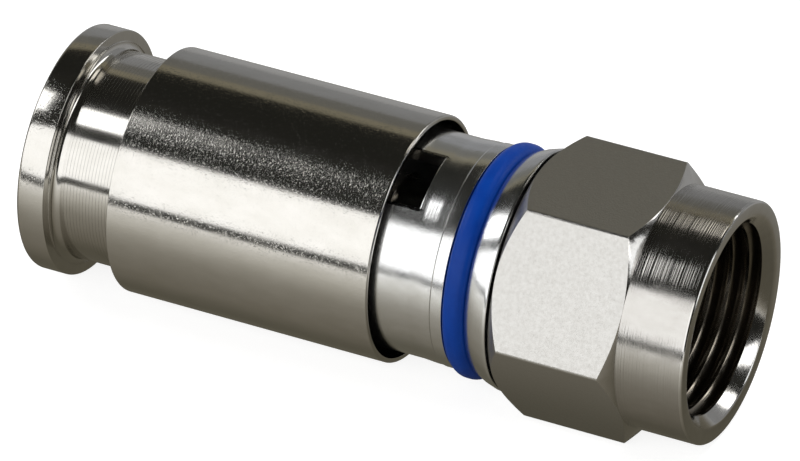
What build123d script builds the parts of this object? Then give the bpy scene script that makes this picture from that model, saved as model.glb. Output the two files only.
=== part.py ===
from build123d import *
from math import cos, radians, sin, tan
import os

# Compression connector for coaxial cable with a 3/8-32 coupling nut, before it is closed.
# It lies on its side: X runs along its axis towards the open mouth of the nut, Z is up, and the
# origin is on the surface it lies on, below the middle of its length. Lengths in millimetres.

# Sizes set by the thread and the cable that it takes
thread_major_diameter = 9.525
thread_pitch = 25.4 / 32
thread_depth_per_pitch = 0.54127
core_bore = 4.86
cable_bore = 7.9
cable_bore_chamfer = 0.25

# Coupling nut
nut_across_flats = 11.11
nut_flat_count = 6
nut_hex_length = 6.10
nut_rear_chamfer_angle = 42
nut_front_chamfer_angle = 30
nut_rear_face_inset = 0.04
nut_collar_step = 0.01
nut_collar_length = 3.17
nut_mouth_chamfer = 0.54
nut_mouth_edge = 0.08
nut_thread_length = 4.9
nut_relief_depth = 0.12
nut_lip_thickness = 1.0
nut_end_play = 0.10
nut_gap = 0.13

# Body shell
body_cavity_room = 0.27
body_wall = 0.85
body_land_rise = 0.07
body_cone_angle = 25
body_cone_rise = 0.26
body_shoulder_angle = 17
body_shoulder_rise = 0.15
body_flange_width = 0.13
body_taper_rise = 0.03
body_taper_length = 0.82
body_taper_to_step = 0.27
body_step_width = 0.06
body_land_width = 0.53
body_hub_length = 1.55
body_hub_wall = 0.55
body_front_wall = 1.10
body_rear_cone_depth = 1.9
body_rear_cone_rise = 0.40
body_edge_chamfer = 0.15

# Inspection window in the body shell
window_length = 3.8
window_width = 3.07
window_tilt = 21
window_to_step = 1.46

# Blue ring on the body, and the flat ring behind the nut
seal_thickness = 1.06
seal_stand = 0.26
seal_groove_play = 0.03
nut_seal_wall = 0.64
nut_seal_length = 0.90
nut_seal_play = 0.04

# Post
post_wall = 0.20
post_seat_wall = 0.55
post_shoulder_wall = 0.95
post_flange_thickness = 0.80
post_flange_clearance = 0.10
post_barb_height = 0.23
post_barb_length = 0.90
post_front_barb_setback = 2.30
post_behind_body = 0.35
post_mouth_chamfer = 0.12

# Compression sleeve
skirt_wall = 0.59
skirt_length = 12.84
skirt_mouth_clearance = 0.07
skirt_mouth_depth = 3.40
skirt_rear_wall = 0.70
sleeve_neck_wall = 0.42
sleeve_neck_length = 3.15
sleeve_neck_foot = 0.32
sleeve_neck_foot_step = 0.03
sleeve_flange_stand = 0.87
sleeve_flange_thickness = 1.36
sleeve_flange_chamfer = 0.16
sleeve_edge_chamfer = 0.05
sleeve_travel = 5.22

# Grip ring
grip_ring_wall = 0.43
grip_nose_angle = 12
grip_nose_length = 1.9
grip_nose_reach = 1.5

# Clearances
running_clearance = 0.04
press_clearance = 0.01
closing_clearance = 0.06
edge_search = 0.001

# Radii worked out from the sizes above
thread_minor_radius = thread_major_diameter / 2 - thread_depth_per_pitch * thread_pitch
core_radius = core_bore / 2
cable_radius = cable_bore / 2
nut_flat_radius = nut_across_flats / 2
nut_corner_radius = nut_flat_radius / cos(radians(180 / nut_flat_count))
nut_rear_face_radius = nut_flat_radius - nut_rear_face_inset
nut_collar_radius = nut_flat_radius - nut_collar_step
post_tube_radius = core_radius + post_wall
post_barb_radius = post_tube_radius + post_barb_height
post_seat_radius = core_radius + post_seat_wall
post_shoulder_radius = core_radius + post_shoulder_wall
post_flange_radius = thread_minor_radius - post_flange_clearance
nut_lip_radius = post_shoulder_radius + running_clearance
nut_relief_radius = thread_major_diameter / 2 + nut_relief_depth
body_cavity_radius = cable_radius + body_cavity_room
body_tube_radius = body_cavity_radius + body_wall
body_taper_radius = body_tube_radius + body_taper_rise
body_land_radius = body_tube_radius + body_land_rise
body_shoulder_radius = body_land_radius + body_cone_rise
body_flange_radius = body_shoulder_radius + body_shoulder_rise
body_hub_radius = post_seat_radius + press_clearance + body_hub_wall
nut_seal_radius = body_hub_radius + nut_seal_play + nut_seal_wall
nut_seal_bore_radius = nut_seal_radius + nut_seal_play
seal_outer_radius = body_land_radius + seal_stand
seal_dome_radius = seal_outer_radius - seal_thickness / 2
seal_foot_radius = seal_outer_radius - seal_thickness
seal_groove_radius = seal_foot_radius - seal_groove_play
skirt_guide_radius = body_tube_radius + running_clearance
skirt_radius = skirt_guide_radius + skirt_wall
skirt_mouth_radius = seal_outer_radius + skirt_mouth_clearance
grip_ring_radius = cable_radius + grip_ring_wall
grip_nose_radius = grip_ring_radius - grip_nose_length * tan(radians(grip_nose_angle))
neck_bore_radius = grip_ring_radius + running_clearance
sleeve_neck_radius = neck_bore_radius + sleeve_neck_wall
sleeve_foot_radius = sleeve_neck_radius + sleeve_neck_foot + sleeve_neck_foot_step
sleeve_flange_radius = sleeve_neck_radius + sleeve_flange_stand

# Places along X, counted from the rear face and then centred on the whole length
cone_length = body_cone_rise / tan(radians(body_cone_angle))
shoulder_slope = tan(radians(body_shoulder_angle))
shoulder_length = body_shoulder_rise / shoulder_slope
stop_to_shoulder = (skirt_mouth_radius - body_shoulder_radius) / shoulder_slope
shoulder_past_stop = shoulder_length - stop_to_shoulder + body_flange_width
seal_groove_width = seal_thickness + 2 * seal_groove_play
sleeve_length = sleeve_flange_thickness + sleeve_neck_length + skirt_length
exposed_length = sleeve_travel + closing_clearance + shoulder_past_stop
overall_length = sleeve_length + exposed_length + nut_gap + nut_hex_length + nut_collar_length

sleeve_rear_x = -overall_length / 2
sleeve_flange_front_x = sleeve_rear_x + sleeve_flange_thickness
sleeve_foot_x = sleeve_flange_front_x + sleeve_neck_foot_step
skirt_rear_x = sleeve_flange_front_x + sleeve_neck_length
skirt_front_x = skirt_rear_x + skirt_length
skirt_mouth_end_x = skirt_front_x - skirt_mouth_depth
skirt_shoulder_x = skirt_rear_x + skirt_rear_wall
skirt_shoulder_rear_x = skirt_shoulder_x - (skirt_guide_radius - neck_bore_radius)

body_front_x = skirt_front_x + exposed_length
body_flange_rear_x = body_front_x - body_flange_width
body_shoulder_x = body_flange_rear_x - shoulder_length
body_cone_rear_x = body_shoulder_x - cone_length
seal_groove_rear_x = body_cone_rear_x - seal_groove_width
seal_rear_x = seal_groove_rear_x + seal_groove_play
seal_middle_x = seal_rear_x + seal_thickness / 2
seal_front_x = seal_rear_x + seal_thickness
body_land_rear_x = seal_groove_rear_x - body_land_width
body_taper_front_x = body_land_rear_x - body_step_width - body_taper_to_step
body_taper_rear_x = body_taper_front_x - body_taper_length
body_hub_front_x = body_front_x + body_hub_length
body_cavity_front_x = seal_groove_rear_x - body_front_wall
body_rear_x = skirt_shoulder_x + sleeve_travel + closing_clearance
body_rear_cone_x = body_rear_x + body_rear_cone_depth
window_front_x = body_land_rear_x - window_to_step
window_middle_x = window_front_x - window_length / 2

nut_rear_x = body_front_x + nut_gap
nut_hex_front_x = nut_rear_x + nut_hex_length
nut_front_x = nut_hex_front_x + nut_collar_length
nut_rear_chamfer = (nut_corner_radius - nut_rear_face_radius) * tan(radians(nut_rear_chamfer_angle))
nut_front_chamfer = (nut_corner_radius - nut_collar_radius) * tan(radians(nut_front_chamfer_angle))
nut_thread_end_x = nut_front_x - nut_thread_length
nut_lip_rear_x = body_hub_front_x + nut_end_play
nut_lip_front_x = nut_lip_rear_x + nut_lip_thickness
nut_seal_front_x = body_front_x + nut_seal_length

post_flange_rear_x = nut_lip_front_x + nut_end_play
post_front_x = post_flange_rear_x + post_flange_thickness
post_rear_x = body_rear_x - post_behind_body
post_front_barb_x = window_front_x - post_front_barb_setback
post_rear_barb_x = post_rear_x + post_barb_length
grip_ring_front_x = body_rear_x + grip_nose_reach - sleeve_travel
grip_nose_rear_x = grip_ring_front_x - grip_nose_length

# The axis lies as high as the widest round part, which rests on the surface
axis_height = max(sleeve_flange_radius, skirt_radius, nut_flat_radius)
turning_axis = Axis((0, 0, axis_height), (1, 0, 0))
section = Plane(origin=(0, 0, axis_height), x_dir=(1, 0, 0), z_dir=(0, -1, 0))


def turn(outline, mode=Mode.ADD):
    """Turn a closed outline of (x, radius) points about the connector's axis."""
    with BuildSketch(section) as profile:
        with BuildLine():
            Polyline(*outline, close=True)
        make_face()
    revolve(profile.sketch, axis=turning_axis, mode=mode)


def rim(x):
    """The round edges of the piece being made that lie at x, the smallest first."""
    found = edges().filter_by(GeomType.CIRCLE).filter_by_position(Axis.X, x - edge_search, x + edge_search)
    return found.sort_by(SortBy.RADIUS)


def keep(piece, name):
    """Name a finished piece and write it to its own file."""
    piece.part.label = name
    export_step(piece.part, f"parts/{name}.step")


os.makedirs("parts", exist_ok=True)

# Coupling nut: hex bar, turned at both ends, with a bore of the thread's minor diameter
with BuildPart() as coupling_nut:
    with BuildSketch(Plane(origin=(nut_rear_x, 0, axis_height), x_dir=(0, 1, 0), z_dir=(1, 0, 0))):
        RegularPolygon(radius=nut_flat_radius, side_count=nut_flat_count, major_radius=False)
    extrude(amount=nut_hex_length + nut_collar_length)
    turn(
        [
            (nut_rear_x, nut_seal_bore_radius),
            (nut_rear_x, nut_rear_face_radius),
            (nut_rear_x + nut_rear_chamfer, nut_corner_radius),
            (nut_hex_front_x - nut_front_chamfer, nut_corner_radius),
            (nut_hex_front_x, nut_collar_radius),
            (nut_front_x, nut_collar_radius),
            (nut_front_x, thread_minor_radius + nut_mouth_chamfer),
            (nut_front_x - nut_mouth_chamfer, thread_minor_radius),
            (nut_thread_end_x, thread_minor_radius),
            (nut_thread_end_x, nut_relief_radius),
            (nut_lip_front_x, nut_relief_radius),
            (nut_lip_front_x, nut_lip_radius),
            (nut_lip_rear_x, nut_lip_radius),
            (nut_lip_rear_x, nut_seal_bore_radius),
        ],
        mode=Mode.INTERSECT,
    )
    chamfer(rim(nut_front_x)[-1], nut_mouth_edge)
keep(coupling_nut, "coupling_nut")

# Body shell: turned tube with a seat for the post, a groove for the blue ring and a front flange
with BuildPart() as body_shell:
    turn(
        [
            (body_rear_x, body_cavity_radius + body_rear_cone_rise),
            (body_rear_x, body_tube_radius - body_edge_chamfer),
            (body_rear_x + body_edge_chamfer, body_tube_radius),
            (body_taper_rear_x, body_tube_radius),
            (body_taper_front_x, body_taper_radius),
            (body_land_rear_x - body_step_width, body_taper_radius),
            (body_land_rear_x, body_land_radius),
            (seal_groove_rear_x, body_land_radius),
            (seal_groove_rear_x, seal_groove_radius),
            (body_cone_rear_x, seal_groove_radius),
            (body_cone_rear_x, body_land_radius),
            (body_shoulder_x, body_shoulder_radius),
            (body_flange_rear_x, body_flange_radius),
            (body_front_x, body_flange_radius),
            (body_front_x, body_hub_radius),
            (body_hub_front_x, body_hub_radius),
            (body_hub_front_x, post_seat_radius + press_clearance),
            (body_cavity_front_x, post_seat_radius + press_clearance),
            (body_cavity_front_x, body_cavity_radius),
            (body_rear_cone_x, body_cavity_radius),
        ]
    )
    # The window is milled through one side of the tube, turned a little from straight up
    window_out = (0, -sin(radians(window_tilt)), cos(radians(window_tilt)))
    with BuildSketch(Plane(origin=(window_middle_x, 0, axis_height), x_dir=(1, 0, 0), z_dir=window_out)):
        Rectangle(window_length, window_width)
    extrude(amount=body_land_radius, mode=Mode.SUBTRACT)
keep(body_shell, "body_shell")

# Blue seal ring: rubber ring in the body's groove, domed outside and flat where it sits
with BuildPart() as blue_seal_ring:
    with BuildSketch(section):
        with BuildLine():
            foot = Polyline(
                (seal_rear_x, seal_dome_radius),
                (seal_rear_x, seal_foot_radius),
                (seal_front_x, seal_foot_radius),
                (seal_front_x, seal_dome_radius),
            )
            ThreePointArc(foot @ 0, (seal_middle_x, seal_outer_radius), foot @ 1)
        make_face()
    revolve(axis=turning_axis)
keep(blue_seal_ring, "blue_seal_ring")

# Nut seal ring: flat rubber ring on the body's hub, inside the rear of the nut
with BuildPart() as nut_seal_ring:
    turn(
        [
            (body_front_x, body_hub_radius + nut_seal_play),
            (body_front_x, nut_seal_radius),
            (nut_seal_front_x, nut_seal_radius),
            (nut_seal_front_x, body_hub_radius + nut_seal_play),
        ]
    )
keep(nut_seal_ring, "nut_seal_ring")

# Post: thin turned tube with barbs for the braid, pressed into the body, its flange holding the nut
with BuildPart() as post:
    barbs = []
    for barb_front_x in (post_rear_barb_x, post_front_barb_x):
        barbs += [
            (barb_front_x - post_barb_length, post_tube_radius),
            (barb_front_x, post_barb_radius),
            (barb_front_x, post_tube_radius),
        ]
    turn(
        [
            (post_rear_x, core_radius),
            *barbs,
            (body_cavity_front_x, post_tube_radius),
            (body_cavity_front_x, post_seat_radius),
            (body_hub_front_x, post_seat_radius),
            (body_hub_front_x, post_shoulder_radius),
            (post_flange_rear_x, post_shoulder_radius),
            (post_flange_rear_x, post_flange_radius),
            (post_front_x, post_flange_radius),
            (post_front_x, core_radius + post_mouth_chamfer),
            (post_front_x - post_mouth_chamfer, core_radius),
        ]
    )
keep(post, "post")

# Compression sleeve: skirt over the body, neck round the grip ring, and the flange that is pushed
with BuildPart() as compression_sleeve:
    turn(
        [
            (sleeve_rear_x + cable_bore_chamfer, cable_radius),
            (sleeve_rear_x, cable_radius + cable_bore_chamfer),
            (sleeve_rear_x, sleeve_flange_radius),
            (sleeve_flange_front_x, sleeve_flange_radius),
            (sleeve_flange_front_x, sleeve_foot_radius),
            (sleeve_foot_x, sleeve_foot_radius),
            (sleeve_foot_x, sleeve_neck_radius),
            (skirt_rear_x, sleeve_neck_radius),
            (skirt_rear_x, skirt_radius),
            (skirt_front_x, skirt_radius),
            (skirt_front_x, skirt_mouth_radius),
            (skirt_mouth_end_x, skirt_mouth_radius),
            (skirt_mouth_end_x, skirt_guide_radius),
            (skirt_shoulder_x, skirt_guide_radius),
            (skirt_shoulder_rear_x, neck_bore_radius),
            (sleeve_flange_front_x, neck_bore_radius),
            (sleeve_flange_front_x, cable_radius),
        ]
    )
    chamfer(rim(sleeve_rear_x)[-1], sleeve_flange_chamfer)
    fillet(rim(sleeve_foot_x)[0], sleeve_neck_foot)
    chamfer([rim(sleeve_flange_front_x)[-1], rim(skirt_rear_x)[-1], *rim(skirt_front_x)], sleeve_edge_chamfer)
keep(compression_sleeve, "compression_sleeve")

# Grip ring: plastic ring behind the body, seated on the sleeve's rear wall, with a tapered nose
with BuildPart() as grip_ring:
    turn(
        [
            (sleeve_flange_front_x, cable_radius),
            (sleeve_flange_front_x, grip_ring_radius),
            (grip_nose_rear_x, grip_ring_radius),
            (grip_ring_front_x, grip_nose_radius),
            (grip_ring_front_x, cable_radius),
        ]
    )
keep(grip_ring, "grip_ring")
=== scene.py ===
from math import cos, hypot, pi, radians, sin, tan

import bmesh
import bpy
from mathutils import Matrix, Vector


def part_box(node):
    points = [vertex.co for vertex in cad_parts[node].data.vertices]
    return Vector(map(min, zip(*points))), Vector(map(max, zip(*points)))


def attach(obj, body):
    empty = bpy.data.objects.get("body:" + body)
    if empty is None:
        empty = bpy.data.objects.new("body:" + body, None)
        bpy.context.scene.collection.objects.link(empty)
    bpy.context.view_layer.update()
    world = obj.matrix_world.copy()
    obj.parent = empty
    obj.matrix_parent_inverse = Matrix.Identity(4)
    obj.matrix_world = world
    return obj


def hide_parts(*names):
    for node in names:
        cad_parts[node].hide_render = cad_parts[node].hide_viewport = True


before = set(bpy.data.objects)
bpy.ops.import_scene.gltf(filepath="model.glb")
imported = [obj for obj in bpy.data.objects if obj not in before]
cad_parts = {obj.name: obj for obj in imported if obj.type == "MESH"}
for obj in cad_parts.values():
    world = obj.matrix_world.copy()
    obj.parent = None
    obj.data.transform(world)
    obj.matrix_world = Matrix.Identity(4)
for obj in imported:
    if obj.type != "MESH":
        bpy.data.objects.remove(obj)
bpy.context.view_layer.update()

# Body shell, the part that everything else is mounted on. It is turned from brass bar and plated with
# bright nickel: a tube for the cable's jacket, a low taper and step, a groove for the blue ring and a
# flange behind the nut. One inspection window is milled through its wall.
mm = 0.001
body_low, body_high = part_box("body_shell")
axis_height = (body_low.z + body_high.z) / 2
cavity_radius = 4.22 * mm
tube_radius = 5.06 * mm
taper_radius = 5.105 * mm
land_radius = 5.14 * mm
body_flange_radius = body_high.y
groove_radius = 4.31 * mm
hub_radius = 3.54 * mm
seat_radius = 2.99 * mm
hub_length = 1.55 * mm
body_flange_width = 0.13 * mm
shoulder_angle = radians(17)
shoulder_rise = 0.15 * mm
cone_angle = radians(25)
groove_width = 1.12 * mm
land_width = 0.53 * mm
step_width = 0.06 * mm
taper_to_step = 0.42 * mm
taper_length = 0.68 * mm
front_wall = 1.10 * mm
rear_cone_depth = 1.9 * mm
rear_cone_rise = 0.40 * mm
body_rear_edge = 0.15 * mm
taper_edge = 0.05 * mm
groove_edge = 0.03 * mm
body_flange_rear_edge = 0.04 * mm
body_flange_front_edge = 0.06 * mm
window_length = 3.8 * mm
window_width = 3.07 * mm
window_tilt = radians(21)
window_to_step = 1.46 * mm
window_edge = 0.05 * mm
sharp_edge_angle = radians(20)
turning_steps = 240

body_front = body_high.x - hub_length
flange_rear = body_front - body_flange_width
shoulder_radius = body_flange_radius - shoulder_rise
shoulder_rear = flange_rear - shoulder_rise / tan(shoulder_angle)
cone_rear = shoulder_rear - (shoulder_radius - land_radius) / tan(cone_angle)
groove_rear = cone_rear - groove_width
land_rear = groove_rear - land_width
taper_front = land_rear - step_width - taper_to_step
cavity_front = groove_rear - front_wall
window_front = land_rear - window_to_step


def finish_mesh(bm, name):
    """Turn a bmesh into a shown object, smooth apart from its sharp edges."""
    bmesh.ops.recalc_face_normals(bm, faces=bm.faces)
    mesh = bpy.data.meshes.new(name)
    bm.to_mesh(mesh)
    bm.free()
    mesh.shade_smooth()
    mesh.set_sharp_from_angle(angle=sharp_edge_angle)
    piece = bpy.data.objects.new(name, mesh)
    bpy.context.scene.collection.objects.link(piece)
    return piece


def turned(name, outline, segments=4, steps=turning_steps):
    """Spin a closed outline about the axis. A corner is (x, radius), or (x, radius, size of its round)."""
    bm = bmesh.new()
    corners = [bm.verts.new((x, 0, radius)) for x, radius, *_ in outline]
    for start, end in zip(corners, corners[1:] + corners[:1]):
        bm.edges.new((start, end))
    for corner, (_, _, *edge_round) in zip(corners, outline):
        if edge_round:
            bmesh.ops.bevel(
                bm, geom=[corner], offset=edge_round[0], offset_type="OFFSET", segments=segments,
                profile=0.5, affect="VERTICES", material=-1,
            )
    bmesh.ops.spin(
        bm, geom=bm.verts[:] + bm.edges[:], cent=(0, 0, 0), axis=(1, 0, 0), angle=2 * pi,
        steps=steps, use_merge=True, use_duplicate=False,
    )
    bmesh.ops.translate(bm, verts=bm.verts, vec=(0, 0, axis_height))
    return finish_mesh(bm, name)


body_outline = [
    (body_low.x, cavity_radius + rear_cone_rise),
    (body_low.x, tube_radius, body_rear_edge),
    (taper_front - taper_length, tube_radius, taper_edge),
    (taper_front, taper_radius, taper_edge),
    (land_rear - step_width, taper_radius),
    (land_rear, land_radius),
    (groove_rear, land_radius, groove_edge),
    (groove_rear, groove_radius),
    (cone_rear, groove_radius),
    (cone_rear, land_radius, groove_edge),
    (shoulder_rear, shoulder_radius),
    (flange_rear, body_flange_radius, body_flange_rear_edge),
    (body_front, body_flange_radius, body_flange_front_edge),
    (body_front, hub_radius),
    (body_high.x, hub_radius),
    (body_high.x, seat_radius),
    (cavity_front, seat_radius),
    (cavity_front, cavity_radius),
    (body_low.x + rear_cone_depth, cavity_radius),
]
body_shell = turned("body_shell_dressed", body_outline)


def carve(piece, tool, operation):
    """Cut a closed tool out of a piece, or keep only what lies inside the tool."""
    cut = piece.modifiers.new("cut", "BOOLEAN")
    cut.object = tool
    cut.operation = operation
    cut.solver = "EXACT"
    carved = piece.evaluated_get(bpy.context.evaluated_depsgraph_get())
    piece.data = bpy.data.meshes.new_from_object(carved)
    piece.modifiers.clear()
    bpy.data.objects.remove(tool)
    piece.data.shade_smooth()
    piece.data.set_sharp_from_angle(angle=sharp_edge_angle)


window_tool = bmesh.new()
bmesh.ops.create_cube(window_tool, size=1)
bmesh.ops.scale(window_tool, verts=window_tool.verts, vec=(window_length, window_width, 2 * tube_radius))
window_middle = (window_front - window_length / 2, 0, tube_radius)
bmesh.ops.translate(window_tool, verts=window_tool.verts, vec=window_middle)
tilt = Matrix.Rotation(window_tilt, 3, "X")
bmesh.ops.rotate(window_tool, verts=window_tool.verts, cent=(0, 0, 0), matrix=tilt)
bmesh.ops.translate(window_tool, verts=window_tool.verts, vec=(0, 0, axis_height))
carve(body_shell, finish_mesh(window_tool, "window_tool"), "DIFFERENCE")


def break_edges(piece, chosen, width):
    """Round the chosen edges of a carved piece."""
    bm = bmesh.new()
    bm.from_mesh(piece.data)
    rim = [edge for edge in bm.edges if chosen(edge)]
    bmesh.ops.bevel(
        bm, geom=rim, offset=width, offset_type="OFFSET", segments=2, profile=0.5, affect="EDGES",
        material=-1, clamp_overlap=True,
    )
    bm.to_mesh(piece.data)
    bm.free()
    piece.data.set_sharp_from_angle(angle=sharp_edge_angle)


def from_axis(place):
    """Distance of a place from the connector's axis."""
    return hypot(place.y, place.z - axis_height)


def on_window_rim(edge):
    """Whether an edge of the body is where the window breaks through its outside."""
    middle = (edge.verts[0].co + edge.verts[1].co) / 2
    along_window = window_front - window_length - window_edge < middle.x < window_front + window_edge
    outside = min(from_axis(vert.co) for vert in edge.verts) > tube_radius - window_edge / 4
    return along_window and outside and edge.calc_face_angle(0) > sharp_edge_angle


break_edges(body_shell, on_window_rim, window_edge)


def add_node(tree, kind, inputs, **settings):
    """Add a shader node. Each input is a number, a vector, a colour or another node's output."""
    made = tree.nodes.new("ShaderNode" + kind)
    for setting, value in settings.items():
        setattr(made, setting, value)
    for socket, value in inputs.items():
        if isinstance(value, bpy.types.NodeSocket):
            tree.links.new(value, made.inputs[socket])
        else:
            made.inputs[socket].default_value = value
    return made


def grain_place(tree, length, width):
    """Object coordinates centred on the axis, and counted in grains of a length along X and a width."""
    place = add_node(tree, "TexCoord", {}).outputs["Object"]
    inputs = {"Vector": place, "Location": (0, 0, axis_height), "Scale": (length, width, width)}
    return add_node(tree, "Mapping", inputs, vector_type="TEXTURE").outputs["Vector"]


def grain(tree, length, width=None, detail=2):
    """Noise whose grains have a length along X and a width across it, or the same size both ways."""
    inputs = {"Vector": grain_place(tree, length, width or length), "Scale": 1, "Detail": detail}
    return add_node(tree, "TexNoise", inputs).outputs["Fac"]


def turning_marks(tree, spacing):
    """Noise that only changes along X and outwards, like the marks that a lathe's tool leaves."""
    place = grain_place(tree, spacing, spacing)
    across = add_node(tree, "VectorMath", {0: place, 1: (0, 1, 1)}, operation="MULTIPLY").outputs[0]
    outwards = add_node(tree, "VectorMath", {0: across}, operation="LENGTH").outputs["Value"]
    along = add_node(tree, "SeparateXYZ", {0: place}).outputs["X"]
    travel = add_node(tree, "Math", {0: along, 1: outwards}, operation="ADD").outputs[0]
    inputs = {"W": travel, "Scale": 1, "Detail": 3, "Roughness": 0.6}
    return add_node(tree, "TexNoise", inputs, noise_dimensions="1D").outputs["Fac"]


def ranged(tree, noise, low, high):
    """Spread a noise, which mostly lies from 0.3 to 0.7, over low to high."""
    inputs = {"Value": noise, "From Min": 0.3, "From Max": 0.7, "To Min": low, "To Max": high}
    return add_node(tree, "MapRange", inputs).outputs["Result"]


def peaks(tree, noise, start, full, height=1):
    """Keep only a noise's peaks, which begin above start and have their whole height at full."""
    inputs = {"Value": noise, "From Min": start, "From Max": full, "To Max": height}
    return add_node(tree, "MapRange", inputs).outputs["Result"]


def set_relief(material, *layers):
    """Bump a material by layers of (noise, depth of its full height), each on top of the one before."""
    tree = material.node_tree
    surface = {}
    for noise, depth in layers:
        inputs = {"Height": noise, "Distance": depth, "Strength": 1, **surface}
        surface = {"Normal": add_node(tree, "Bump", inputs).outputs["Normal"]}
    tree.links.new(surface["Normal"], tree.nodes["Principled BSDF"].inputs["Normal"])


def drifting(name, colour, far_colour, patches, patch_detail):
    """Start a material whose colour drifts to another and back in patches of a length and a width."""
    material = bpy.data.materials.new(name)
    material.use_nodes = True
    tree = material.node_tree
    drift = ranged(tree, grain(tree, *patches, detail=patch_detail), 0, 1)
    inputs = {"Factor": drift, "A": (*colour, 1), "B": (*far_colour, 1)}
    mixed = add_node(tree, "Mix", inputs, data_type="RGBA")
    tree.links.new(mixed.outputs["Result"], tree.nodes["Principled BSDF"].inputs["Base Color"])
    return material


def plated(name, tint, shadow_tint, patches, roughness, pit_size, pit_roughness):
    """Nickel plating whose tint and gloss drift in patches, with fine pits that are rougher.

    Patches are a length and a width, and roughness is its lowest and its highest value.
    """
    material = drifting(name, tint, shadow_tint, patches, patch_detail=3)
    tree = material.node_tree
    shader = tree.nodes["Principled BSDF"]
    shader.inputs["Metallic"].default_value = 1
    gloss = ranged(tree, grain(tree, *patches, detail=4), *roughness)
    pits = peaks(tree, grain(tree, pit_size), start=0.58, full=0.70, height=pit_roughness)
    worn = add_node(tree, "Math", {0: gloss, 1: pits}, operation="ADD").outputs[0]
    tree.links.new(worn, shader.inputs["Roughness"])
    return material


body_nickel = plated(
    "body_nickel", tint=(0.78, 0.787, 0.795), shadow_tint=(0.73, 0.732, 0.725),
    patches=(0.9 * mm, 0.5 * mm), roughness=(0.16, 0.22), pit_size=0.10 * mm, pit_roughness=0.04,
)
body_marks = turning_marks(body_nickel.node_tree, 0.12 * mm)
body_grain = grain(body_nickel.node_tree, 0.20 * mm)
set_relief(body_nickel, (body_marks, 0.0018 * mm), (body_grain, 0.002 * mm))
body_shell.data.materials.append(body_nickel)


def weigh_normals(piece):
    """Shade by the widest faces, so that a wide face stays flat beside a small round."""
    weighting = piece.modifiers.new("normals", "WEIGHTED_NORMAL")
    weighting.mode = "FACE_AREA"
    weighting.weight = 50
    weighting.keep_sharp = True


weigh_normals(body_shell)
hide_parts("body_shell")
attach(body_shell, "body")

# Nut seal ring: a flat ring of black rubber on the body's hub. It closes the gap behind the nut, and
# shows there as a dark line.
seal_low, seal_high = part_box("nut_seal_ring")
nut_seal_play = 0.04 * mm
nut_seal_edge = 0.08 * mm
small_ring_steps = 128

nut_seal_outline = [
    (seal_low.x, hub_radius + nut_seal_play, nut_seal_edge),
    (seal_low.x, seal_high.y, nut_seal_edge),
    (seal_high.x, seal_high.y, nut_seal_edge),
    (seal_high.x, hub_radius + nut_seal_play, nut_seal_edge),
]
nut_seal = turned("nut_seal_ring_dressed", nut_seal_outline, steps=small_ring_steps)


def moulded(name, colour, worn_colour, roughness, grain_size, grain_depth):
    """Moulded rubber or plastic with a fine grain and slightly paler worn patches."""
    worn_patches = (0.8 * mm, 0.8 * mm)
    material = drifting(name, colour, worn_colour, worn_patches, patch_detail=4)
    tree = material.node_tree
    gloss = ranged(tree, grain(tree, grain_size), *roughness)
    tree.links.new(gloss, tree.nodes["Principled BSDF"].inputs["Roughness"])
    set_relief(material, (grain(tree, grain_size), grain_depth))
    return material


black_rubber = moulded(
    "black_rubber", colour=(0.030, 0.023, 0.016), worn_colour=(0.055, 0.043, 0.030),
    roughness=(0.5, 0.7), grain_size=0.1 * mm, grain_depth=0.003 * mm,
)
nut_seal.data.materials.append(black_rubber)
weigh_normals(nut_seal)
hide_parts("nut_seal_ring")
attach(nut_seal, "body")

# Coupling nut, which turns freely on the post and screws onto the port. It is made from drawn hex bar,
# turned down to a round collar in front, chamfered at both ends and tapped with a 3/8-32 thread.
nut_low, nut_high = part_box("coupling_nut")
flat_radius = nut_high.z - axis_height
corner_radius = flat_radius / cos(radians(30))
corner_round = 0.10 * mm
flat_edge = 0.04 * mm
collar_below_flat = 0.01 * mm
collar_length = 3.17 * mm
rear_face_below_flat = 0.04 * mm
rear_face_edge = 0.05 * mm
rear_chamfer_angle = radians(42)
front_chamfer_angle = radians(30)
thread_pitch = 25.4 * mm / 32
thread_minor_radius = 4.333 * mm
thread_major_radius = 4.7625 * mm
thread_root_width = thread_pitch / 8
thread_flank_angle = radians(30)
thread_length = 4.9 * mm
thread_overlap = 0.06 * mm
thread_crest_flare = 0.05 * mm
thread_to_face = 0.508 * mm
thread_turn = radians(12.4)
thread_turns = 6
thread_steps = 120
mouth_chamfer = 0.54 * mm
mouth_edge = 0.15 * mm
mouth_chamfer_round = 0.16 * mm
relief_radius = 4.8825 * mm
lip_radius = 3.42 * mm
lip_play = 0.10 * mm
lip_thickness = 1.0 * mm
seal_bore_radius = seal_high.y + nut_seal_play
hex_overshoot = 1 * mm
rear_chamfer_zone = 1 * mm
skin_depth = 0.02 * mm
flat_slot, thread_slot, collar_slot = 1, 2, 3

collar_radius = flat_radius - collar_below_flat
rear_face_radius = flat_radius - rear_face_below_flat
lip_rear = body_high.x + lip_play
lip_front = lip_rear + lip_thickness
hex_front = nut_high.x - collar_length
thread_end = nut_high.x - thread_length

nut_outline = [
    (nut_low.x, seal_bore_radius, rear_face_edge),
    (nut_low.x, rear_face_radius, rear_face_edge),
    (nut_low.x + (corner_radius - rear_face_radius) * tan(rear_chamfer_angle), corner_radius),
    (hex_front - (corner_radius - collar_radius) * tan(front_chamfer_angle), corner_radius),
    (hex_front, collar_radius),
    (nut_high.x, collar_radius, mouth_edge),
    (nut_high.x, thread_minor_radius + mouth_chamfer, mouth_chamfer_round),
    (nut_high.x - mouth_chamfer, thread_minor_radius),
    (thread_end, thread_minor_radius),
    (thread_end, relief_radius),
    (lip_front, relief_radius),
    (lip_front, lip_radius),
    (lip_rear, lip_radius),
    (lip_rear, seal_bore_radius),
]
nut = turned("coupling_nut_dressed", nut_outline)

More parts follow.
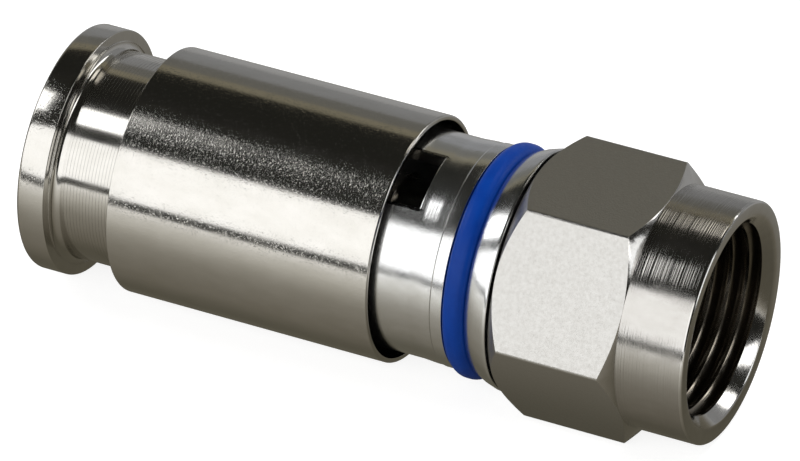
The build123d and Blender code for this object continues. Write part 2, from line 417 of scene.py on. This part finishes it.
hex_tool = bmesh.new()
bmesh.ops.create_circle(hex_tool, cap_ends=True, radius=corner_radius, segments=6)
bmesh.ops.rotate(hex_tool, verts=hex_tool.verts, cent=(0, 0, 0), matrix=Matrix.Rotation(pi / 2, 3, "Y"))
bmesh.ops.translate(hex_tool, verts=hex_tool.verts, vec=(nut_low.x - hex_overshoot, 0, axis_height))
sides = bmesh.ops.extrude_face_region(hex_tool, geom=hex_tool.faces[:])
pulled = [part for part in sides["geom"] if isinstance(part, bmesh.types.BMVert)]
hex_length = nut_high.x - nut_low.x + 2 * hex_overshoot
bmesh.ops.translate(hex_tool, verts=pulled, vec=(hex_length, 0, 0))
hex_corners = [
    edge for edge in hex_tool.edges if abs(edge.verts[0].co.x - edge.verts[1].co.x) > hex_overshoot
]
bmesh.ops.bevel(
    hex_tool, geom=hex_corners, offset=corner_round, offset_type="OFFSET", segments=3,
    profile=0.5, affect="EDGES", material=-1,
)
for face in hex_tool.faces:
    face.material_index = flat_slot
carve(nut, finish_mesh(hex_tool, "hex_tool"), "INTERSECT")


def on_flat_rim(edge):
    """Whether an edge of the nut is where one of the hex bar's flats meets a turned face."""
    slots_beside = {face.material_index for face in edge.link_faces}
    return len(slots_beside) == 2 and edge.calc_face_angle(0) > sharp_edge_angle


break_edges(nut, on_flat_rim, flat_edge)

thread_start = nut_high.x - thread_to_face - thread_turns * thread_pitch
groove_foot = thread_minor_radius - thread_overlap
flare_radius = thread_minor_radius + thread_crest_flare
flare_half = thread_root_width / 2 + (thread_major_radius - flare_radius) * tan(thread_flank_angle)
foot_half = flare_half + flare_radius - groove_foot
thread_outline = [
    (thread_start - foot_half, groove_foot),
    (thread_start - flare_half, flare_radius),
    (thread_start - thread_root_width / 2, thread_major_radius),
    (thread_start + thread_root_width / 2, thread_major_radius),
    (thread_start + flare_half, flare_radius),
    (thread_start + foot_half, groove_foot),
]
thread_tool = bmesh.new()
section_corners = [thread_tool.verts.new((x, 0, radius)) for x, radius in thread_outline]
thread_section = thread_tool.faces.new(section_corners)
bmesh.ops.spin(
    thread_tool, geom=[thread_section], cent=(0, 0, 0), axis=(1, 0, 0),
    dvec=(thread_pitch / thread_steps, 0, 0), angle=2 * pi * thread_turns,
    steps=thread_steps * thread_turns, use_merge=False, use_duplicate=False,
)
thread_roll = Matrix.Rotation(thread_turn, 3, "X")
bmesh.ops.rotate(thread_tool, verts=thread_tool.verts, cent=(0, 0, 0), matrix=thread_roll)
bmesh.ops.translate(thread_tool, verts=thread_tool.verts, vec=(0, 0, axis_height))
for face in thread_tool.faces:
    face.material_index = thread_slot
carve(nut, finish_mesh(thread_tool, "thread_tool"), "DIFFERENCE")

nut_nickel = plated(
    "nut_nickel", tint=(0.60, 0.59, 0.57), shadow_tint=(0.56, 0.545, 0.515),
    patches=(0.9 * mm, 0.5 * mm), roughness=(0.10, 0.15), pit_size=0.09 * mm, pit_roughness=0.05,
)
set_relief(nut_nickel, (grain(nut_nickel.node_tree, 0.25 * mm), 0.0020 * mm))
nut.data.materials.append(nut_nickel)

flat_nickel = plated(
    "flat_nickel", tint=(0.52, 0.513, 0.493), shadow_tint=(0.49, 0.48, 0.457),
    patches=(0.16 * mm, 0.16 * mm), roughness=(0.28, 0.37), pit_size=0.07 * mm, pit_roughness=0.03,
)
set_relief(flat_nickel, (grain(flat_nickel.node_tree, 0.08 * mm, detail=3), 0.010 * mm))
nut.data.materials.append(flat_nickel)

thread_nickel = plated(
    "thread_nickel", tint=(0.33, 0.30, 0.25), shadow_tint=(0.22, 0.195, 0.16),
    patches=(0.6 * mm, 0.6 * mm), roughness=(0.16, 0.26), pit_size=0.08 * mm, pit_roughness=0.02,
)
set_relief(thread_nickel, (turning_marks(thread_nickel.node_tree, 0.06 * mm), 0.0015 * mm))
nut.data.materials.append(thread_nickel)

collar_nickel = plated(
    "collar_nickel", tint=(0.50, 0.487, 0.465), shadow_tint=(0.47, 0.455, 0.43),
    patches=(0.9 * mm, 0.5 * mm), roughness=(0.14, 0.20), pit_size=0.09 * mm, pit_roughness=0.05,
)
collar_marks = turning_marks(collar_nickel.node_tree, 0.10 * mm)
collar_grain = grain(collar_nickel.node_tree, 0.12 * mm, 0.25 * mm)
set_relief(collar_nickel, (collar_marks, 0.0220 * mm), (collar_grain, 0.0008 * mm))
nut.data.materials.append(collar_nickel)

# The collar has a finish of its own, and the chamfer at the rear has that of the flats.
for face in nut.data.polygons:
    outside = from_axis(face.center) > collar_radius - skin_depth
    if outside and hex_front < face.center.x < nut_high.x - mouth_edge:
        face.material_index = collar_slot
    elif outside and face.center.x < nut_low.x + rear_chamfer_zone:
        face.material_index = flat_slot
weigh_normals(nut)
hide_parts("coupling_nut")
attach(nut, "nut")

# Post: a thin turned tube, nickel plated, pressed into the body from the front. Its flange holds the
# nut, and its barbs hold the cable's braid. The front barb shows through the window.
post_low, post_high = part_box("post")
core_radius = 2.43 * mm
post_wall = 0.20 * mm
post_barb_rise = 0.23 * mm
post_barb_length = 0.90 * mm
post_barb_edge = 0.03 * mm
post_barb_to_window = 2.30 * mm
post_seat_radius = 2.98 * mm
post_shoulder_radius = 3.38 * mm
post_flange_thickness = 0.80 * mm
post_flange_edge = 0.06 * mm
post_mouth_chamfer = 0.12 * mm

post_tube_radius = core_radius + post_wall
post_barb_radius = post_tube_radius + post_barb_rise
post_rear_barb = post_low.x + post_barb_length
post_front_barb = window_front - post_barb_to_window
post_flange_rear = post_high.x - post_flange_thickness

post_outline = [
    (post_low.x, core_radius),
    (post_rear_barb - post_barb_length, post_tube_radius),
    (post_rear_barb, post_barb_radius, post_barb_edge),
    (post_rear_barb, post_tube_radius),
    (post_front_barb - post_barb_length, post_tube_radius),
    (post_front_barb, post_barb_radius, post_barb_edge),
    (post_front_barb, post_tube_radius),
    (cavity_front, post_tube_radius),
    (cavity_front, post_seat_radius),
    (body_high.x, post_seat_radius),
    (body_high.x, post_shoulder_radius),
    (post_flange_rear, post_shoulder_radius),
    (post_flange_rear, post_high.y, post_flange_edge),
    (post_high.x, post_high.y, post_flange_edge),
    (post_high.x, core_radius + post_mouth_chamfer),
    (post_high.x - post_mouth_chamfer, core_radius),
]
post = turned("post_dressed", post_outline)
post_nickel = plated(
    "post_nickel", tint=(0.50, 0.47, 0.42), shadow_tint=(0.42, 0.39, 0.34),
    patches=(0.8 * mm, 0.6 * mm), roughness=(0.16, 0.30), pit_size=0.08 * mm, pit_roughness=0.02,
)
set_relief(post_nickel, (turning_marks(post_nickel.node_tree, 0.08 * mm), 0.0012 * mm))
post.data.materials.append(post_nickel)
weigh_normals(post)
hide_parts("post")
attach(post, "body")

# Blue seal ring: a moulded rubber ring sprung into the body's groove. The sleeve's mouth closes over
# it and keeps water out, and its colour tells the installer the cable size.
blue_low, blue_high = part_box("blue_seal_ring")
blue_thickness = blue_high.x - blue_low.x
blue_dome_share = 0.42
blue_dome = blue_dome_share * blue_thickness
blue_foot_round = 0.1 * mm

blue_outline = [
    (blue_low.x, blue_high.y - blue_thickness, blue_foot_round),
    (blue_low.x, blue_high.y, blue_dome),
    (blue_high.x, blue_high.y, blue_dome),
    (blue_high.x, blue_high.y - blue_thickness, blue_foot_round),
]
blue_ring = turned("blue_seal_ring_dressed", blue_outline, segments=12)
blue_rubber = moulded(
    "blue_rubber", colour=(0.0025, 0.041, 0.29), worn_colour=(0.003, 0.050, 0.33),
    roughness=(0.34, 0.46), grain_size=0.15 * mm, grain_depth=0.004 * mm,
)
blue_rubber.node_tree.nodes["Principled BSDF"].inputs["Specular IOR Level"].default_value = 0.15
blue_ring.data.materials.append(blue_rubber)
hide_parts("blue_seal_ring")
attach(blue_ring, "body")

# Grip ring: a black plastic ring seated in the sleeve's neck, with a tapered nose. When the sleeve is
# driven home, the body's rear cone presses the nose in and it clamps the cable's jacket.
grip_low, grip_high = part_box("grip_ring")
cable_radius = 3.95 * mm
grip_nose_length = 1.9 * mm
grip_nose_angle = radians(12)

grip_outline = [
    (grip_low.x, cable_radius),
    (grip_low.x, grip_high.y),
    (grip_high.x - grip_nose_length, grip_high.y),
    (grip_high.x, grip_high.y - grip_nose_length * tan(grip_nose_angle)),
    (grip_high.x, cable_radius),
]
grip_ring = turned("grip_ring_dressed", grip_outline, steps=small_ring_steps)
grip_plastic = moulded(
    "grip_plastic", colour=(0.02, 0.02, 0.02), worn_colour=(0.035, 0.035, 0.035),
    roughness=(0.4, 0.55), grain_size=0.2 * mm, grain_depth=0.003 * mm,
)
grip_ring.data.materials.append(grip_plastic)
weigh_normals(grip_ring)
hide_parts("grip_ring")
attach(grip_ring, "sleeve")

# Compression sleeve, the large rear part, turned in one piece and nickel plated: a skirt over the
# body, a narrower neck, and the flange that the compression tool pushes on. It slides forward.
sleeve_low, sleeve_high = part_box("compression_sleeve")
sleeve_flange_radius = sleeve_high.y
skirt_below_flange = 0.01 * mm
skirt_mouth_radius = 5.47 * mm
skirt_guide_radius = 5.11 * mm
skirt_length = 12.84 * mm
skirt_mouth_depth = 3.40 * mm
skirt_rear_wall = 0.70 * mm
neck_radius = 4.84 * mm
neck_bore_radius = 4.42 * mm
neck_foot = 0.32 * mm
neck_feed = 0.16 * mm
neck_ridge = 0.010 * mm
neck_ridge_front = 0.006 * mm
foot_step = 0.03 * mm
foot_edge = 0.02 * mm
sleeve_flange_thickness = 1.36 * mm
flange_rear_round = 0.18 * mm
sleeve_edge_round = 0.05 * mm
sleeve_lip_round = 0.10 * mm
cable_bore_chamfer = 0.25 * mm
neck_slot = 1

flange_front = sleeve_low.x + sleeve_flange_thickness
skirt_rear = sleeve_high.x - skirt_length
shoulder = skirt_rear + skirt_rear_wall
skirt_radius = sleeve_flange_radius - skirt_below_flange
neck_feeds = round((skirt_rear - flange_front - neck_foot - foot_step) / neck_feed)
neck_start = skirt_rear - neck_feeds * neck_feed
neck_ridges = []
for feed in range(neck_feeds):
    neck_ridges.append((neck_start + feed * neck_feed, neck_radius - neck_ridge))
    neck_ridges.append((neck_start + (feed + 1) * neck_feed - neck_ridge_front, neck_radius))

sleeve_outline = [
    (sleeve_low.x + cable_bore_chamfer, cable_radius),
    (sleeve_low.x, cable_radius + cable_bore_chamfer),
    (sleeve_low.x, sleeve_flange_radius, flange_rear_round),
    (flange_front, sleeve_flange_radius, sleeve_edge_round),
    (flange_front, neck_radius + neck_foot + foot_step, foot_edge),
    (flange_front + foot_step, neck_radius + neck_foot + foot_step, foot_edge),
    (flange_front + foot_step, neck_radius, neck_foot),
    *neck_ridges,
    (skirt_rear, neck_radius - neck_ridge),
    (skirt_rear, skirt_radius, sleeve_edge_round),
    (sleeve_high.x, skirt_radius, sleeve_lip_round),
    (sleeve_high.x, skirt_mouth_radius, sleeve_edge_round),
    (sleeve_high.x - skirt_mouth_depth, skirt_mouth_radius),
    (sleeve_high.x - skirt_mouth_depth, skirt_guide_radius),
    (shoulder, skirt_guide_radius),
    (shoulder - (skirt_guide_radius - neck_bore_radius), neck_bore_radius),
    (flange_front, neck_bore_radius),
    (flange_front, cable_radius),
]
sleeve = turned("compression_sleeve_dressed", sleeve_outline, segments=6)

sleeve_finish = {
    "tint": (0.60, 0.585, 0.555), "shadow_tint": (0.56, 0.545, 0.51), "patches": (1.4 * mm, 0.7 * mm),
    "roughness": (0.11, 0.15), "pit_size": 0.09 * mm,
}
sleeve_nickel = plated("sleeve_nickel", **sleeve_finish, pit_roughness=0.12)
sleeve_marks = turning_marks(sleeve_nickel.node_tree, 0.10 * mm)
sleeve_grain = grain(sleeve_nickel.node_tree, 0.08 * mm, 0.10 * mm)
sleeve_dents = peaks(sleeve_nickel.node_tree, sleeve_grain, start=0.58, full=0.76)
set_relief(sleeve_nickel, (sleeve_marks, 0.0008 * mm), (sleeve_dents, 0.0022 * mm))
sleeve.data.materials.append(sleeve_nickel)

neck_nickel = plated("neck_nickel", **sleeve_finish, pit_roughness=0.02)
set_relief(neck_nickel, (turning_marks(neck_nickel.node_tree, 0.12 * mm), 0.0008 * mm))
sleeve.data.materials.append(neck_nickel)

# The neck shows its turning ridges, and isn't dented like the skirt and the flange.
for face in sleeve.data.polygons:
    on_neck = flange_front < face.center.x < skirt_rear
    if on_neck and from_axis(face.center) > neck_radius - 2 * neck_ridge:
        face.material_index = neck_slot
weigh_normals(sleeve)
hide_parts("compression_sleeve")
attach(sleeve, "sleeve")

# Studio: a plain pale floor, and soft lights round the object: a large window in front, small ones to
# the sides, dim screens behind, and lamps above. The metal doesn't mirror the floor but a glowing warm
# grey card just under it, seen only in reflections, whose glow is painted light: brighter towards the
# window, with a painted shadow of the object where the card lies close under it.
floor_radius = 0.8
floor_mesh = bmesh.new()
bmesh.ops.create_circle(floor_mesh, cap_ends=True, radius=floor_radius, segments=96)
floor = finish_mesh(floor_mesh, "floor")
floor.visible_glossy = False
floor.visible_diffuse = False
paper = bpy.data.materials.new("paper")
paper.use_nodes = True
paper_shader = paper.node_tree.nodes["Principled BSDF"]
paper_shader.inputs["Base Color"].default_value = (0.45, 0.45, 0.45, 1)
paper_shader.inputs["Roughness"].default_value = 0.9
paper_shader.inputs["Specular IOR Level"].default_value = 0
paper_shader.inputs["Emission Color"].default_value = (1, 1, 1, 1)
paper_shader.inputs["Emission Strength"].default_value = 0.83
floor.data.materials.append(paper)

table_depth = 0.3 * mm
table_front = -70 * mm
table_back = 400 * mm
table_half_length = 300 * mm
table_mesh = bmesh.new()
bmesh.ops.create_grid(table_mesh, x_segments=1, y_segments=1, size=1)
table_size = (table_half_length, (table_back - table_front) / 2, 1)
bmesh.ops.scale(table_mesh, verts=table_mesh.verts, vec=table_size)
table_middle = (0, (table_back + table_front) / 2, -table_depth)
bmesh.ops.translate(table_mesh, verts=table_mesh.verts, vec=table_middle)
table = finish_mesh(table_mesh, "table")
table.visible_camera = False
table.visible_shadow = False
table.visible_transmission = False

# How brightly the table card glows, and its colour, from in front of the object (-Y) to behind it. This
# is painted light: it brightens towards the window, and its dark stretch close round the object is a
# painted shadow of the object.
table_light_and_shadow = [
    (-60 * mm, (1.30, 1.29, 1.25, 1)),
    (-22 * mm, (0.66, 0.64, 0.58, 1)),
    (-12 * mm, (0.335, 0.315, 0.27, 1)),
    (-6 * mm, (0.205, 0.187, 0.150, 1)),
    (-4 * mm, (0.120, 0.110, 0.082, 1)),
    (3 * mm, (0.115, 0.105, 0.080, 1)),
    (10 * mm, (0.17, 0.155, 0.12, 1)),
    (35 * mm, (0.38, 0.38, 0.38, 1)),
]
table_span = 80 * mm
# The card's glow: painted light with a painted shadow of the object, which the metal mirrors.
table_painted_light = bpy.data.materials.new("table_painted_light")
table_painted_light.use_nodes = True
table_tree = table_painted_light.node_tree
table_tree.nodes.remove(table_tree.nodes["Principled BSDF"])
table_place = add_node(table_tree, "TexCoord", {}).outputs["Object"]
table_y = add_node(table_tree, "SeparateXYZ", {0: table_place}).outputs["Y"]
span_inputs = {"Value": table_y, "From Min": -table_span, "From Max": table_span}
across_table = add_node(table_tree, "MapRange", span_inputs).outputs["Result"]
table_ramp = add_node(table_tree, "ValToRGB", {"Fac": across_table})
stops = table_ramp.color_ramp.elements
stops[0].color = table_light_and_shadow[0][1]
stops[1].color = table_light_and_shadow[-1][1]
for y, colour in table_light_and_shadow:
    stops.new((y + table_span) / (2 * table_span)).color = colour
shine_inputs = {"Color": table_ramp.outputs["Color"], "Strength": 1}
table_shine = add_node(table_tree, "Emission", shine_inputs).outputs[0]
table_tree.links.new(table_shine, table_tree.nodes["Material Output"].inputs["Surface"])
table.data.materials.append(table_painted_light)


def soft_light(name, place, aim, size, radiance, colour=(1, 1, 1), along=(1, 0, 0)):
    """A rectangular light at a place, facing another, as bright in a mirror as its radiance says."""
    light = bpy.data.lights.new(name, "AREA")
    light.shape = "RECTANGLE"
    light.size, light.size_y = size
    light.energy = radiance * pi * size[0] * size[1]
    light.color = colour
    lamp = bpy.data.objects.new(name, light)
    away = (Vector(place) - Vector(aim)).normalized()
    side = away.cross(Vector(along)).normalized()
    lamp.rotation_euler = Matrix((side.cross(away), side, away)).transposed().to_euler()
    lamp.location = place
    lamp.visible_camera = False
    bpy.context.scene.collection.objects.link(lamp)
    return lamp


def towards(heading, height):
    """A lamp's place as seen from the object. Heading 0 is in front (-Y), 90 beyond its mouth (+X)."""
    lamp_distance = 0.5
    level = cos(radians(height)) * lamp_distance
    rise = sin(radians(height)) * lamp_distance
    return (sin(radians(heading)) * level, -cos(radians(heading)) * level, rise)


middle = (0, 0, axis_height)
soft_light("front_window", (-0.60, -0.35, 0.1635), aim=(-0.60, 0, 0), size=(1.7, 0.325), radiance=1.65)
screen_x = -0.10
screen_y = 0.485
screen_length = 1.6
screens = [
    ("low_screen", 0.10, 0.20, 0.28, (0.96, 0.97, 1)),
    ("high_screen", 0.285, 0.17, 0.155, (1, 0.98, 0.90)),
    ("screen_border", 0.44, 0.14, 0.25, (1, 0.90, 0.64)),
]
for name, screen_z, width, radiance, colour in screens:
    facing = (screen_x, 0, screen_z)
    soft_light(name, (screen_x, screen_y, screen_z), facing, (screen_length, width), radiance, colour)
soft_light(
    "left_ceiling", (-0.314, -0.071, 0.284), aim=middle, size=(0.339, 0.126), radiance=2.8,
    along=(-0.665, 0.397, -0.633),
)
soft_light(
    "ceiling_lamp", (0.085, 0.250, 0.420), aim=middle, size=(0.27, 0.13), radiance=1.35,
    colour=(1, 0.95, 0.86),
)
soft_light("far_window", towards(140, 21), aim=middle, size=(0.26, 0.10), radiance=2.8)
soft_light("right_window", towards(94, 26), aim=middle, size=(0.28, 0.11), radiance=2.4)
soft_light("left_window", towards(-112, 3.5), aim=middle, size=(0.16, 0.06), radiance=2.2)
soft_light("side_card", towards(106, 3), aim=middle, size=(0.20, 0.15), radiance=1.6, colour=(0.96, 0.98, 1))
top_fill = soft_light("top_fill", (0.1, 0.25, 0.5), aim=middle, size=(0.3, 0.3), radiance=6.5)
top_fill.visible_glossy = False

world = bpy.data.worlds.new("studio")
bpy.context.scene.world = world
world.use_nodes = True
world.node_tree.nodes["Background"].inputs["Color"].default_value = (0.018, 0.018, 0.015, 1)

# Camera: a long lens at the photograph's angle, so that the connector's sides hardly converge. It is
# aimed just above the connector's middle.
lens = 343.5
camera_distance = 0.340
azimuth = radians(25.36)
elevation = radians(34.87)
aim_right = 0.099 * mm
aim_up = 0.116 * mm
back = Vector((sin(azimuth) * cos(elevation), -cos(azimuth) * cos(elevation), sin(elevation)))
turn_to_view = back.to_track_quat("Z", "Y")
right = turn_to_view @ Vector((1, 0, 0))
up = turn_to_view @ Vector((0, 1, 0))
aim = Vector(middle) + aim_right * right + aim_up * up
camera = bpy.data.objects.new("camera", bpy.data.cameras.new("camera"))
camera.data.lens = lens
camera.data.clip_start = 0.01
camera.rotation_euler = turn_to_view.to_euler()
camera.location = aim + back * camera_distance
bpy.context.scene.collection.objects.link(camera)
bpy.context.scene.camera = camera
bpy.context.scene.view_settings.view_transform = "Standard"
